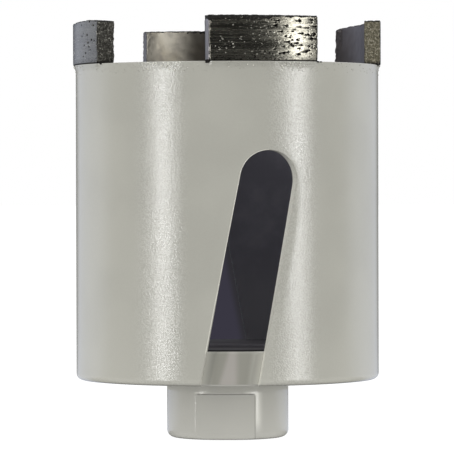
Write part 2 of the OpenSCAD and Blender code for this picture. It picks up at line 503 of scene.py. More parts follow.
def buildBarrel(b):
    outerR, innerR, edge, steps = b["outerR"], b["outerR"] - b["wall"], b["paintEdge"], b["roundSteps"]
    half = math.pi * outerR
    firstZ = tubeBottomZ + b["bottomRound"]
    bottomTurns = np.linspace(0, math.pi / 2, b["bottomRows"] + 1)[:-1]
    bottomRows = tubeBottomZ + b["bottomRound"] * (1 - np.cos(bottomTurns))
    # Steps round a painted edge, from the outside to the inside: radius of the face, way in, turn
    quarter = np.linspace(0, math.pi / 2, steps + 1)
    rounding = [(outerR, -1, turn) for turn in quarter] + [(innerR, 1, turn) for turn in quarter[::-1]]

    def centre(z):
        return slotStart + (z - tubeBottomZ) * math.tan(slotLean)

    # One side of a slot, offset outwards, as places along the unrolled tube and heights
    def slotSide(offset, side):
        r = slotR + offset
        turn = -side * slotLean
        straight = np.linspace(firstZ, slotEndZ + r * math.sin(turn), b["straightRows"] + 1)[:-1]
        low = np.concatenate([bottomRows, straight])
        angle = np.linspace(turn, math.pi / 2, b["arcRows"] + 1)
        lowS = centre(low) + side * r / math.cos(slotLean)
        arcS = centre(slotEndZ) + side * r * np.cos(angle)
        return np.concatenate([lowS, arcS]), np.concatenate([low, slotEndZ + r * np.sin(angle)])

    # How far the rounded bottom edge draws in the outside at a height
    def drawnIn(z):
        lift = np.clip(firstZ - z, 0, b["bottomRound"])
        return b["bottomRound"] - np.sqrt(b["bottomRound"] ** 2 - lift ** 2)

    # Half the tube as one strip from the right side of a slot to the left side of the next
    across = np.unique(np.concatenate([np.linspace(0, 1, b["columns"] + 1), [0.0015, 0.9985]]))
    startS, startZ = slotSide(edge, 1)
    stopS, stopZ = slotSide(edge, -1)
    upper = np.linspace(startZ[-1], rimZ - edge, b["upperRows"] + 1)[1:]
    startS = np.concatenate([startS, np.full(len(upper), centre(slotEndZ))])
    stopS = np.concatenate([stopS, np.full(len(upper), centre(slotEndZ))]) + half
    startZ, stopZ = np.concatenate([startZ, upper]), np.concatenate([stopZ, upper])
    gridS = startS[:, None] + (stopS - startS)[:, None] * across
    gridZ = startZ[:, None] + (stopZ - startZ)[:, None] * across
    outside = polar(outerR - drawnIn(gridZ), gridS / outerR, gridZ)
    inside = polar(innerR, gridS / outerR, gridZ)
    rimAzimuth = gridS[-1] / outerR
    rimTop = np.stack([
        polar(faceR + way * edge * (1 - math.cos(turn)), rimAzimuth, rimZ - edge * (1 - math.sin(turn)))
        for faceR, way, turn in rounding])

    # Loop from the outside, round the edge, through the wall and round to the inside
    def edgeLoop(side, shift):
        rings = []
        for faceR, way, turn in rounding:
            s, z = slotSide(edge * (1 - math.sin(turn)), side)
            r = faceR - (drawnIn(z) if way < 0 else 0) + way * edge * (1 - math.cos(turn))
            rings.append(polar(r, (s + shift) / outerR, z))
        rings.insert(steps + 1, (rings[steps] + rings[steps + 1]) / 2)
        return np.stack(rings, axis=1)

    materials = [paintMaterial, boreMaterial, edgeMaterial, wallMaterial]
    points, faces, kinds = [], [], []

    # finish gives the material by its number, from each named column on
    def addGrid(grid, finish):
        rows, columns = grid.shape[:2]
        faces.extend(gridFaces(rows, columns, len(points)))
        points.extend(grid.reshape(-1, 3))
        kind = np.zeros(columns - 1, dtype=int)
        for first, number in finish:
            kind[first:] = number
        kinds.extend(np.tile(kind, rows - 1))

    # The front slot's right wall and inner edge, and its left outer edge, take the edge paint's painted
    # light; the rear slot's loops take the wall's painted shade
    frontRight, frontLeft, rear = [(steps, 2)], [(0, 2), (steps, 0)], [(1, 3)]
    for flip, startFinish, stopFinish in ((1, frontRight, rear), (-1, rear, frontLeft)):
        turned = np.array([flip, flip, 1])
        addGrid(outside * turned, [])
        addGrid(inside * turned, [(0, 1)])
        addGrid(rimTop * turned, [])
        addGrid(np.stack([outside[0], inside[0]]) * turned, [])
        for loop, finish in ((edgeLoop(1, 0), startFinish), (edgeLoop(-1, half), stopFinish)):
            addGrid(loop * turned, finish)
            faces.append(range(len(points), len(points) + len(loop[0])))
            points.extend(loop[0] * turned)
            kinds.append(0)
    piece = linkPiece("barrelSkin", points, faces, materials, kinds)
    evenNormals(piece)
    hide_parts("barrel")


buildBarrel(barrel)
print("barrel built")


# Base: the hub and the plate, turned in one, with two wrench flats
base = {
    "hubR": 13.4,          # mm
    "endRound": 1.74,
    "endRings": (9.6, 10.6, 11.3),      # radii of the rings of faces on the hub's end
    "plateBottomZ": 12.8,
    "plateRings": (12, 17, 22, 27),     # the same on the plate, the first only on its top
    "plateChamfer": 0.4,
    "fillet": 0.8,
    "flatDistance": 11.7,  # axis to flat
    "flatAzimuth": -2.2,   # degrees
    "flatBlend": 0.16,     # softness of the flats' upright edges
    "ledgeZ": 10.12,
    "rootR": 0.75,
    "threadR": 8.0,
    "threadChamfer": 0.8,
    "mouthEase": 0.06,     # how far the chamfers' outer edges are broken
    "paintEdge": 0.20,     # rounding of the flats' edges
    "steps": {"end": 14, "flat": 8, "root": 10, "collar": 6, "fillet": 6, "rim": 6},   # rows of faces
    "edgeSpan": (17, 33),  # degrees from a flat's middle, where its upright edges are
    "columnStep": 2.0,     # degrees
    "edgeStep": 0.5,       # degrees, in that span
}


# Places along a wrench flat and outwards from the axis to it
def alongFlat(x, y):
    turn = math.radians(base["flatAzimuth"])
    return x * math.cos(turn) + y * math.sin(turn), abs(x * math.sin(turn) - y * math.cos(turn))


# Painted shade: dark lines in the corner over each wrench flat, along its right edge and round the hub's
# end
def baseShade(graph, place):
    x, y, z = graph.split(place)
    along, depth = alongFlat(x, y)
    flat, ledge, rootR = base["flatDistance"], base["ledgeZ"], base["rootR"]
    corner = graph.over(depth, flat, flat + 0.45 * rootR)
    corner = corner * graph.within(z, ledge - rootR, ledge - 0.1, ledge, ledge + 0.06)
    foot = graph.over(z, 0.42, 0.12) * 0.8
    line = graph.within(along * graph.side(y), 6.22, 6.36, 6.46, 6.60) * 0.5
    line = line * graph.over(z, ledge - 0.2, ledge - 0.5)
    return graph.larger(graph.larger(corner, line), foot)


# Painted highlights: paler crescents over the upper corners of each flat, and a paler band at their right
def basePaintedLight(graph, place):
    x, y, z = graph.split(place)
    along = alongFlat(x, y)[0]
    ledge = base["ledgeZ"]
    crescent = graph.within(abs(along), 3.6, 5.2, 6.2, 7.2)
    crescent = crescent * graph.within(z, ledge - 0.05, ledge + 0.1, ledge + 0.2, ledge + 0.45)
    paintedHighlightBand = graph.within(along, 6.35, 6.55, 6.9, 8.3) * graph.within(z, 1.0, 5.0, ledge, ledge + 0.6)
    return graph.larger(crescent, paintedHighlightBand * 0.9)


# The coat is rough under the tube, where the spray hardly reached
def baseMatt(graph, place):
    z = graph.split(place)[2]
    return graph.over(z, base["ledgeZ"] + 0.25, base["ledgeZ"] + 0.75) * 0.9


# Bare inner side of the plate, dark from the weld's heat, with painted light behind the front slot and
# painted shade beside the tube
bareSteel = {
    "dark": (0.060, 0.057, 0.064, 1),
    "pale": (0.090, 0.087, 0.092, 1),
    "mouth": (0.17, 0.163, 0.178, 1),     # round the thread
    "front": (0.125, 0.12, 0.125, 1),     # paler behind the front slot: painted light
    "burnt": (0.055, 0.053, 0.058, 1),    # darker beside the tube: the weld's heat and painted shade
    # darker still in front: painted shade
    "burntAndShadedFront": (0.024, 0.023, 0.023, 1),
    "mouthFrom": (9.2, 8.4),              # mm from the axis
    "frontFrom": (-12, -17),              # mm along Y
    "burntFrom": (22.5, 25.5),            # mm from the axis
}


def plateShader(graph, c=bareSteel):
    place, x, y, z = graph.here()
    patchy = graph.noise(place, 240.0, 4.0, 0.6)
    away = (x * x + y * y) ** 0.5
    bare = graph.mixColour(patchy, c["dark"], c["pale"])
    bare = graph.mixColour(graph.over(away, *c["mouthFrom"]), bare, c["mouth"])
    # Painted light behind the front slot, and the weld's heat with painted shade beside the tube
    bare = graph.mixColour(graph.over(y, *c["frontFrom"]), bare, c["front"])
    burnt = graph.mixColour(graph.over(y, 0, -20), c["burnt"], c["burntAndShadedFront"])
    colour = graph.mixColour(graph.over(away, *c["burntFrom"]), bare, burnt)
    return graph.surface(colour, 0.65 + patchy * 0.2, graph.bump(patchy, 0.02 * mm), specular=0.03)


# Plate's rim in the slots: thin paint, with a painted reflection as a bright band that leans like the
# slot, and painted light close to the slot's sides
rim = {
    "paintedHighlightBand": linear(158, 154, 148),
    "side": linear(139, 138, 129),
    "far": linear(200, 199, 190),   # paler close to the slot's sides: painted light
    "middleZ": 16.3,                # mm, height at which the places below hold
    "bandLeft": (-1.55, -0.05),     # mm, soft left edge of the band
    "bandRight": (2.9, 1.1),
    "bandLean": 0.32,               # mm across for 1 mm up
    "farMiddle": 0.8,               # mm
    "farFrom": (3.2, 6.6),
    "farLean": 0.15,
}


def rimShader(graph, r=rim):
    place, x, y, z = graph.here()
    across = x * graph.side(y)
    up = z - r["middleZ"] * mm
    broken = graph.noise(graph.stretch(place, (500, 500, 40)), 1.0)
    left = graph.over(graph.ragged(across - up * r["bandLean"], broken, 0.6), *r["bandLeft"])
    right = graph.over(graph.ragged(across, broken, 0.6), *r["bandRight"])
    away = abs(across - up * r["farLean"] - r["farMiddle"] * mm)
    colour = graph.mixColour(graph.over(away, *r["farFrom"]), r["side"], r["far"])
    # Painted reflection: the bright band
    colour = graph.mixColour(left * right, colour, r["paintedHighlightBand"])
    return graph.surface(colour, 0.4, graph.bump(broken, 0.006 * mm), specular=paint["specular"])


basePaintMaterial = makeMaterial(
    "basePaint", lambda g: paintShader(g, baseShade, basePaintedLight, 0.05, baseMatt, basePaint))
plateMaterial = makeMaterial("plateScale", plateShader)
rimMaterial = makeMaterial("plateRimPaint", rimShader)
print("base's finishes mixed")


# The smaller of two radii, with a soft change between them
def smallerOf(first, second, blend):
    near = np.maximum(blend - np.abs(first - second), 0) / blend
    return np.minimum(first, second) - near * near * blend / 4


def buildBase(b):
    edge, hubR, ledge, rootR = b["paintEdge"], b["hubR"], b["ledgeZ"], b["rootR"]
    flatR, threadR, fillet, chamfer = b["flatDistance"], b["threadR"], b["fillet"], b["plateChamfer"]
    bottom, top, ease, steps = b["plateBottomZ"], plateTopZ, b["mouthEase"], b["steps"]
    mouth = threadR + b["threadChamfer"]
    # Corners of the plate's worn chamfers: distance from its rim and from its face
    past = chamfer + 0.08
    corners = [(past, 0), (0.86 * chamfer, 0.1 * chamfer), (0.1 * chamfer, 0.86 * chamfer)]
    rows = []

    # Rows of the turned outline: radius, height, distance of the flat there, share of the collar's round
    def addRows(outline, flat=math.inf, collar=0):
        rows.extend((r, z, flat, collar) for r, z in outline)

    addRows([(threadR, b["threadChamfer"]), (mouth - ease, ease), (mouth + ease, 0)])
    addRows([(r, 0) for r in b["endRings"]])
    for r, z in arc(hubR - b["endRound"], b["endRound"], b["endRound"], -90, 0, steps["end"]):
        addRows([(r, z)], flatR - (edge - math.sqrt(edge ** 2 - max(0, edge - z) ** 2)))
    addRows([(hubR, z) for z in np.linspace(b["endRound"], ledge - rootR, steps["flat"] + 1)[1:]], flatR)
    for turn in np.radians(np.linspace(0, 90, steps["root"] + 1)[1:]):
        addRows([(hubR, ledge - rootR + rootR * math.sin(turn))], flatR + rootR * (1 - math.cos(turn)))
    for turn in np.radians(np.linspace(0, 90, steps["collar"] + 1)):
        addRows([(hubR, ledge + edge * (1 - math.cos(turn)))], collar=1 - math.sin(turn))
    addRows(arc(hubR + fillet, bottom - fillet, fillet, 180, 90, steps["fillet"]))
    addRows([(r, bottom) for r in b["plateRings"][1:]])
    addRows([(plateR - inward, bottom + up) for inward, up in corners])
    addRows([(plateR, z) for z in np.linspace(bottom + past, top - past, steps["rim"] + 1)])
    addRows([(plateR - inward, top - down) for inward, down in corners[::-1]])
    addRows([(r, top) for r in (*b["plateRings"][::-1], mouth + ease)])
    addRows([(mouth - ease, top - ease), (threadR, top - b["threadChamfer"])])
    rows.append(rows[0])
    radius, height, flat, collar = (np.array(value, dtype=float)[:, None] for value in zip(*rows))

    # Azimuths: closer together where a flat's upright edges are
    (start, stop), wide, narrow = b["edgeSpan"], b["columnStep"], b["edgeStep"]
    spans = [(0, start, wide), (start, stop, narrow), (stop, 90 + narrow, wide)]
    spread = np.concatenate([np.arange(*span) for span in spans])
    quarter = np.unique(np.concatenate([-spread, spread]))
    quarter = quarter[(quarter >= -90) & (quarter < 90)]
    away = np.radians(np.concatenate([quarter, quarter]))[None, :]
    angle = np.radians(np.concatenate([quarter, quarter + 180]) + b["flatAzimuth"])[None, :]
    reach = 1 / np.maximum(np.cos(away), 0.05)
    cut = smallerOf(radius + 0 * reach, np.where(np.isinf(flat), 99, flat) * reach, b["flatBlend"])
    cut = cut - collar * np.minimum(edge, np.maximum(hubR - (flatR + rootR) * reach, 0))
    grid = polar(cut, angle, height)

    columns = grid.shape[1]
    middle, inner = height[:-1, 0], radius[:-1, 0] <= threadR + 0.1
    bare = (middle >= top - chamfer * 0.5) | (inner & (middle > b["threadChamfer"] * 0.5))
    onRim = (radius[:-1, 0] > plateR - chamfer) & (middle > bottom + chamfer * 0.3) & ~bare
    materials = [basePaintMaterial, plateMaterial, rimMaterial]
    faces = gridFaces(len(rows), columns, closed=True)
    kinds = np.repeat(bare + 2 * onRim, columns)
    piece = linkPiece("baseSkin", grid.reshape(-1, 3), faces, materials, kinds)
    evenNormals(piece)
    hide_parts("threaded_base")


buildBase(base)
print("base built")


# Segments: sintered metal with diamond grit, worn by cutting
segment = {
    "count": 4,
    "azimuth": 14.2,        # degrees, the first one's middle
    "innerR": 30.5,         # mm
    "outerR": 34.0,
    "length": 24.0,
    "inset": 0.06,          # outer face under the highest grains
    "columns": 200,         # faces along a segment
    "rows": 84,
    "across": 30,
    "pits": (120, 60, 60, 40),   # on each segment
    "pitRadius": (0.11, 0.21),
    "pitDepth": (0.10, 0.34),
    "tail": (0.3, 1.4),     # groove behind a pit
    "tailShare": (1.0, 0.5, 0.5, 0.15),
    "pitGrowth": [(-2, 0.45), (2, 1.0)],   # pits grow along the arc, away from where it starts to cut
    "pitsMoved": 0.35,      # share of the first segment's that go over to its other half
    "groundEnd": (-1, 0, 1, 0),   # the end that is ground smooth, -1 towards falling azimuths
    "grains": (130, 20, 20, 8),
    "grainRadius": (0.06, 0.10),
    "plainFoot": 1.25,      # height without grit
    "lumpSizes": (0.24, 0.55, 1.3),   # of the broken faces, fine, rough and broad
    "endRelief": (0.14, 0.30, 0.30, 0.40),
    "topRelief": 0.38,
    "innerRelief": 0.05,
    # how far each cutting face is worn down, at places along its segment
    "worn": [[(-12, 0), (12, 0.05)], [(-12, 0), (-9, 0.1), (0, 0.45), (6, 0.5), (10, 0.85), (12, 1.0)],
             [(-12, 0.75), (0, 0.8), (12, 1.1)], [(-12, 0.75), (0, 0.5), (8, 0.3), (12, 0.65)]],
    # how far the end towards rising azimuths is worn back, at the foot and at the top
    "trim": ((0, 0), (0.3, 1.5), (0.2, 0.35), (0, 0)),
    # burnt edge along the cutting face, and how deep it hangs at places along the segment
    "sootTop": (0.75, 0.3, 0.5, 0.2),
    "sootAlong": [(-12, 1.2), (0, 1.2), (3, 0.7), (12, 0.5)],
    "sootColumns": (6, 0, 0, 0),   # burnt columns of faces on the ground end
    "chips": 0.42,
    "edgeReach": 0.45,      # how far from an edge it is chipped
    "footHeight": 0.8,      # where it draws in towards the weld
    "footDrawn": 0.12,
    "metal": (0.345, 0.330, 0.276, 1.0),
    "dull": (0.312, 0.302, 0.268, 1.0),
    "metalDark": (0.178, 0.172, 0.145, 1.0),
    "sootAndShade": (0.012, 0.011, 0.010, 1.0),      # where the weld burnt it, and painted shade in the pits and their grooves
    "sootPale": (0.10, 0.095, 0.08, 1),
    "crystal": (0.62, 0.60, 0.52, 1.0),
    # hollows and crests of the broken faces, on the left and, paler as painted light, on the right
    "hollow": ((0.035, 0.033, 0.027, 1), (0.100, 0.090, 0.058, 1)),
    "crest": ((0.16, 0.155, 0.135, 1), (0.34, 0.315, 0.235, 1)),
    "pressed": ((0.262, 0.236, 0.183, 1), (0.32, 0.300, 0.252, 1)),
    "pressedCloud": (0.14, 0.125, 0.12, 1),
    # stains of the inner faces, the first painted shade and the second painted light: where each comes in
    # along X and along Y, its share and colour
    "stains": [((-10.5, -6.5), None, 0.64, (0.10, 0.088, 0.072, 1)),
               (None, (-5, -15), 0.8, (0.42, 0.40, 0.40, 1)),
               ((16, 27), None, 0.85, (0.085, 0.075, 0.085, 1)),
               ((20, 25), (4, 12), 0.8, (0.178, 0.162, 0.158, 1)),
               ((-18.0, -18.4), (20, 24), 0.8, (0.10, 0.095, 0.10, 1))],
}


# Adds the weld's soot and painted shade at a segment's foot, up to an uneven line: its width and heights
# in mm
def sootAndShadeFoot(graph, colour, z, uneven, width, high, low):
    sootAndShade = graph.over(graph.ragged(z, uneven, width), rimZ + high, rimZ + low)
    return graph.mixColour(sootAndShade, colour, segment["sootAndShade"])


# Ground outer face: fine streaks along the arc, pits and grooves painted dark as shade, and pale grains
def groundShader(graph, drawn, s=segment):
    place, x, y, z = graph.here()
    away = (x * x + y * y) ** 0.5
    face = (s["outerR"] - s["inset"]) * mm
    footZ = rimZ + s["plainFoot"]
    sunk = graph.over(face - away, 0.012, 0.07)
    proud = graph.over(away - face, 0.006, 0.03)
    streak = graph.noise(graph.stretch(place, (110, 110, 3900)), 1.0, 3.0, 0.6)
    wide = graph.noise(graph.stretch(place, (60, 60, 900)), 1.0)
    gritty = graph.noise(place, 3600.0, 2.0, 0.6)
    foot = graph.over(graph.ragged(z, gritty, 0.4), footZ + 0.2, footZ - 0.2)
    shiny = graph.mixColour(graph.step(streak + wide - 1.0, -0.14, 0.14), s["metalDark"], s["metal"])
    metal = graph.mixColour(drawn, s["dull"], shiny)
    specks = graph.step(gritty + foot * 0.05, 0.54, 0.70) * (0.7 + foot * 0.2)
    colour = graph.mixColour(specks, metal, s["sootAndShade"])
    colour = graph.mixColour(proud, colour, s["crystal"])
    # Painted shade: the pits and their grooves dark
    colour = graph.mixColour(sunk, colour, s["sootAndShade"])
    colour = sootAndShadeFoot(graph, colour, z, gritty, 0.8, 0.22, 0.04)
    relief = graph.bump(streak, 0.012 * drawn * mm)
    relief = graph.bump(gritty * (foot * 2.5 + 1.0), 0.008 * mm, relief)
    rough = 0.14 + foot * 0.03 + streak * 0.27 + sunk * 0.4
    return graph.surface(colour, rough, relief, metallic=0.965 - proud * 0.96)


# Broken ends and cutting face: rough matrix with curled chips of metal and grit
def brokenShader(graph, s=segment):
    place, x, y, z = graph.here()
    curls = graph.noise(place, 2400.0, 4.0, 0.65)
    grit = graph.node("TexVoronoi", {}, {"Vector": place, "Scale": 3300.0})
    # Painted light: the broken faces paler towards +X
    light = graph.over(graph.ragged(x, curls, 4.0), -28, 30)
    low = graph.mixColour(light, *s["hollow"])
    high = graph.mixColour(light, *s["crest"])
    colour = graph.mixColour(graph.step(curls, 0.40, 0.72), low, high)
    speck = graph.step(grit, 0.30, 0.16) * graph.step(curls, 0.5, 0.6)
    colour = graph.mixColour(speck, colour, s["crystal"])
    colour = sootAndShadeFoot(graph, colour, z, curls, 0.9, 0.9, 0.15)
    relief = graph.bump(grit, 0.03 * mm, graph.bump(curls, 0.12 * mm))
    return graph.surface(colour, 0.5 + curls * 0.2, relief, metallic=0.55)


# Inner face: smooth from the press, with heat stains, painted shade and painted light
def pressedShader(graph, s=segment):
    place, x, y, z = graph.here()
    tone = graph.noise(graph.stretch(place, (160, 160, 110)), 1.0)
    cloud = graph.noise(place, 420.0, 3.0)
    gritty = graph.noise(place, 4000.0, 1.0)
    colour = graph.mixColour(graph.step(tone, 0.35, 0.65), *s["pressed"])
    colour = graph.mixColour(graph.step(cloud, 0.5, 0.75) * 0.4, colour, s["pressedCloud"])
    # The first stain darkens as painted shade, the second pales as painted light
    for alongX, alongY, share, stain in s["stains"]:
        for value, span in ((x, alongX), (y, alongY)):
            if span:
                share = graph.over(value, *span) * share
        colour = graph.mixColour(share, colour, stain)
    colour = sootAndShadeFoot(graph, colour, z, cloud, 0.6, 0.34, 0.10)
    relief = graph.bump(gritty, 0.002 * mm, graph.bump(cloud, 0.03 * mm))
    return graph.surface(colour, 0.36 + cloud * 0.1, relief, metallic=0.9)


# Burnt edge along the cutting face
def sootShader(graph, s=segment):
    burnt = graph.noise(graph.place(), 2600.0, 3.0, 0.6)
    colour = graph.mixColour(graph.step(burnt, 0.55, 0.75), s["sootAndShade"], s["sootPale"])
    return graph.surface(colour, 0.6 + burnt * 0.2, graph.bump(burnt, 0.05 * mm), specular=0.2)


shinyMaterial = makeMaterial("groundMetal", lambda g: groundShader(g, 1.0))
brokenMaterial = makeMaterial("brokenMetal", brokenShader)
pressedMaterial = makeMaterial("pressedMetal", pressedShader)
sootMaterial = makeMaterial("burntMetal", sootShader)
dullMaterial = makeMaterial("dullMetal", lambda g: groundShader(g, 0.3))
print("segments' finishes mixed")


def segmentTurn(index):
    return math.radians(segment["azimuth"] + index * 360 / segment["count"])


# Points beside the front, x along a segment and r outwards, turned to that segment's place
def atSegment(index, x, r, z):
    turn = segmentTurn(index)
    aside, deep = x * math.cos(turn) + r * math.sin(turn), x * math.sin(turn) - r * math.cos(turn)
    return np.stack([aside, deep, z], -1)


# Relief of a segment's outer face: pits with tails, and grains
def makePits(index, s):
    random = np.random.default_rng(70 + index)
    half, foot, top = s["length"] / 2, rimZ + s["plainFoot"], segmentTopZ
    pits, grains = s["pits"][index], s["grains"][index]
    pitU, pitZ = scattered(random, pits, -half - 0.3, half + 0.3), scattered(random, pits, foot + 0.2, top)
    pitR, pitDepth = scattered(random, pits, *s["pitRadius"]), scattered(random, pits, *s["pitDepth"])
    tail = scattered(random, pits, *s["tail"]) * s["tailShare"][index]
    grainU, grainZ = scattered(random, grains, -half, half), scattered(random, grains, foot, top)
    grainR = scattered(random, grains, *s["grainRadius"])
    grown = np.interp(pitU, *np.transpose(s["pitGrowth"]))
    pitU = np.where(random.random(pits) < s["pitsMoved"] * (pitU < 0) * (index == 0), pitU + half, pitU)
    pitR, pitDepth, tail = pitR * grown, pitDepth * grown, tail * grown

    # Depth inwards, at places along the arc and heights
    def pitted(u, z):
        depth = np.full(u.shape, s["inset"])
        for a, b, r in zip(grainU, grainZ, grainR):
            near = np.exp(-((u - a) ** 2 + (z - b) ** 2) / r ** 2)
            depth = depth - s["inset"] * near * 0.95
        for a, b, r, d, length in zip(pitU, pitZ, pitR, pitDepth, tail):
            flat = (z - b) ** 2 / r ** 2
            hole = np.exp(-((u - a) ** 2 / r ** 2 + flat) ** 1.5)
            groove = 0.62 * np.exp(-3.0 * flat - (np.clip(a - u, 0, None) / length) ** 2) * (u < a)
            depth = depth + d * np.maximum(hole, groove)
        return np.clip(depth, 0.01, 0.55)

    return pitted


# Where wear, chips and pits leave the points of a whole segment
def wearDown(p, index, s, pitted):
    x, y, z = p[..., 0], p[..., 1], p[..., 2]
    half, top = s["length"] / 2, segmentTopZ
    r = np.hypot(x, y)
    shifted = p + 200.0 * index
    fine, rough, broad = (lumps(shifted, size, 5 + k) for k, size in enumerate(s["lumpSizes"]))
    ends = s["endRelief"][index] * (0.6 * rough + 0.4 * fine - 0.45)
    ground = s["groundEnd"][index]
    outward = np.stack([x / r, y / r, np.zeros(x.shape)], axis=-1)
    # Each face: distance under it, direction out of it, relief inwards
    faces = [
        (s["outerR"] - r, outward, pitted(s["outerR"] * np.arctan2(x, y), z)),
        (r - s["innerR"], -outward, s["innerRelief"] * (broad - 0.5)),
        (half - x, np.array([1.0, 0, 0]), ends * (0.1 if ground > 0 else 1)),
        (half + x, np.array([-1.0, 0, 0]), ends * (0.1 if ground < 0 else 1)),
        (top - z, np.array([0, 0, 1.0]),
         s["topRelief"] * np.clip(0.5 * rough + 0.4 * fine + 0.3 * broad - 0.42, 0, 1)),
    ]
    foot = np.clip(1 - (z - rimZ) / s["footHeight"], 0, 1)
    near = [np.clip(1 - distance / s["edgeReach"], 0, 1) ** 2 for distance, _, _ in faces]
    chip = s["chips"] * np.clip(rough * 0.7 + broad * 0.6 - 0.62, 0, 1) + 0.05
    chip = chip + 0.5 * foot * np.maximum(near[2], near[3]) * np.clip(broad + 0.1, 0, 1)
    moved = p.copy()
    rise = (z - rimZ) / (top - rimZ)
    trimFoot, trimTop = s["trim"][index]
    trimmed = trimFoot + (trimTop - trimFoot) * rise ** 2
    moved[..., 0] = x - trimmed * np.clip((x - half) / 3 + 1, 0, 1) * (0.7 + 0.6 * rough)
    moved[..., 2] = z - np.interp(x, *np.transpose(s["worn"][index])) * rise
    for k, (distance, normal, relief) in enumerate(faces):
        others = np.max([near[j] for j in range(len(faces)) if j != k], axis=0)
        depth = (relief + chip * others) * near[k]
        if k < 2:
            depth = depth + s["footDrawn"] * foot ** 3 * near[k]
        moved = moved - normal * depth[..., None]
    return moved


def buildSegment(index, s):
    half, top = s["length"] / 2, segmentTopZ
    xs = np.linspace(-half, half, s["columns"] + 1)
    zs = np.linspace(rimZ, top, s["rows"] + 1)
    ts = np.linspace(0, 1, s["across"] + 1)

    # Points of a whole segment: along it, share of the way from the inner face to the outer, height
    def inSection(x, t, z):
        inner, outer = np.sqrt(s["innerR"] ** 2 - x ** 2), np.sqrt(s["outerR"] ** 2 - x ** 2)
        return np.stack(np.broadcast_arrays(x, inner + t * (outer - inner), z), axis=-1)

    # Round the section: outer face, cutting face, inner face and foot, each with its material's number
    ground, broken, pressed, burnt = range(4)
    loop = [(1, z, ground) for z in zs[:-1]] + [(t, top, broken) for t in ts[:0:-1]]
    loop += [(0, z, pressed) for z in zs[:0:-1]] + [(t, rimZ, broken) for t in ts[:-1]]
    share, height, kind = (np.array(value, dtype=float) for value in zip(*loop))
    parts = [inSection(xs[:, None], share[None], height[None]).reshape(-1, 3)]
    faces = gridFaces(len(xs), len(loop), closed=True)
    kinds = [np.tile(kind.astype(int), s["columns"])]
    for x in (-half, half):
        faces += gridFaces(len(zs), len(ts), sum(len(part) for part in parts))
        parts.append(inSection(np.array(x), ts[None], zs[:, None]).reshape(-1, 3))
        end = np.full(s["across"], broken)
        if x * s["groundEnd"][index] > 0:
            end = np.where(np.arange(s["across"]) < s["sootColumns"][index], burnt, pressed)
        kinds.append(np.tile(end, s["rows"]))
    plain = np.concatenate(parts)

    # Soot hangs from the cutting face
    middle = plain[np.array(faces)].mean(axis=1)
    deep = s["sootTop"][index] * (0.35 + 1.3 * lumps(middle + 40.0 * index, 0.5, 9))
    deep = deep * np.interp(middle[:, 0], *np.transpose(s["sootAlong"]))
    kinds = np.where(middle[:, 2] > top - deep, burnt, np.concatenate(kinds))
    points = atSegment(index, *wearDown(plain, index, s, makePits(index, s)).T)
    outer = dullMaterial if index % 2 else shinyMaterial
    materials = [outer, brokenMaterial, pressedMaterial, sootMaterial]
    piece = linkPiece("segmentGrit_%d" % (index + 1), points, faces, materials, kinds)
    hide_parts("segment_%d" % (index + 1))


for index in range(segment["count"]):
    buildSegment(index, segment)
print("segments built")


# Weld beads: painted, uneven, from a segment's foot down to the tube
bead = {
    "height": 1.45,       # mm
    "overlap": 1.15,      # how far down it is made, as a share of its height
    "bow": 1.6,           # how its taper curves, where 1 is straight
    "lumpHeight": 0.09,
    "lumpSizes": (0.8, 0.35),
    "topRound": 0.18,     # how far its upper edge is drawn in
    "pastEnd": 0.1,       # how far it runs past the segment's ends
    "endTaper": 0.7,
    "depth": 1.2,         # how far it reaches into the wall
    "columns": 260,
    "rows": 16,
}


# Radius of the taper, at a share of the way up it
def taperR(share):
    return barrel["outerR"] + (segment["outerR"] - 0.1 - barrel["outerR"]) * share


def buildBead(index, b, s=segment):
    half = s["length"] / 2 + b["pastEnd"]
    x = np.linspace(-half, half, b["columns"] + 1)[:, None]
    t = np.linspace(0, 1, b["rows"] + 1)[None, :]
    z = rimZ - b["height"] * (b["overlap"] - b["overlap"] * t)
    slope = np.clip(1 - (rimZ - z) / b["height"], -0.3, 1)
    here = np.stack(np.broadcast_arrays(x + 90.0 * index, 0 * x, z), -1)
    coarse, fine = (lumps(here, size, 11 + k) for k, size in enumerate(b["lumpSizes"]))
    uneven = coarse * 0.6 + fine * 0.4 - 0.5
    r = taperR(np.sign(slope) * np.abs(slope) ** b["bow"])
    r = r + b["lumpHeight"] * uneven * np.clip(slope * 3, 0, 1) * np.clip((rimZ + 0.05 - z) * 4, 0, 1)
    r = r - b["topRound"] * np.clip((z - rimZ + 0.2) / 0.2, 0, 1) ** 2
    taper = np.clip((half - np.abs(x)) / b["endTaper"], 0, 1)
    r = barrel["outerR"] - 0.1 + (r - barrel["outerR"] + 0.1) * np.sqrt(taper)
    r = np.minimum(r, s["outerR"])
    column = (len(x), 1)
    r = np.concatenate([r, np.full(column, barrel["outerR"] - b["depth"])], axis=1)
    rise = np.concatenate([z + 0 * x, np.full(column, rimZ)], axis=1) + 0.02
    points = polar(r, np.arcsin(x / s["outerR"]) + segmentTurn(index), rise)
    faces = gridFaces(*points.shape[:2])
    piece = linkPiece("weldBead_%d" % (index + 1), points.reshape(-1, 3), faces, [paintMaterial])


for index in range(segment["count"]):
    buildBead(index, bead)
print("welds built")


# Slag and painted shade: dark drops at some of the segments' foot corners, where the welds left craters in
# shade
slagAndShade = {
    # segment, place along it, half the size along the arc, outwards and up, in mm
    "drops": [(0, -12.1, 0.46, 0.50, 0.42), (0, -11.3, 0.30, 0.30, 0.16), (0, 12.2, 0.34, 0.34, 0.18),
              (0, 12.9, 0.30, 0.20, 0.14), (1, -12.0, 0.45, 0.30, 0.36), (3, 12.1, 0.36, 0.26, 0.26)],
    "sunk": 0.05,     # mm, into the tube and under the rim
    "inside": 0.12,   # mm inside the segments' outer faces at the least
    "colour": (0.012, 0.011, 0.010, 1.0),
}


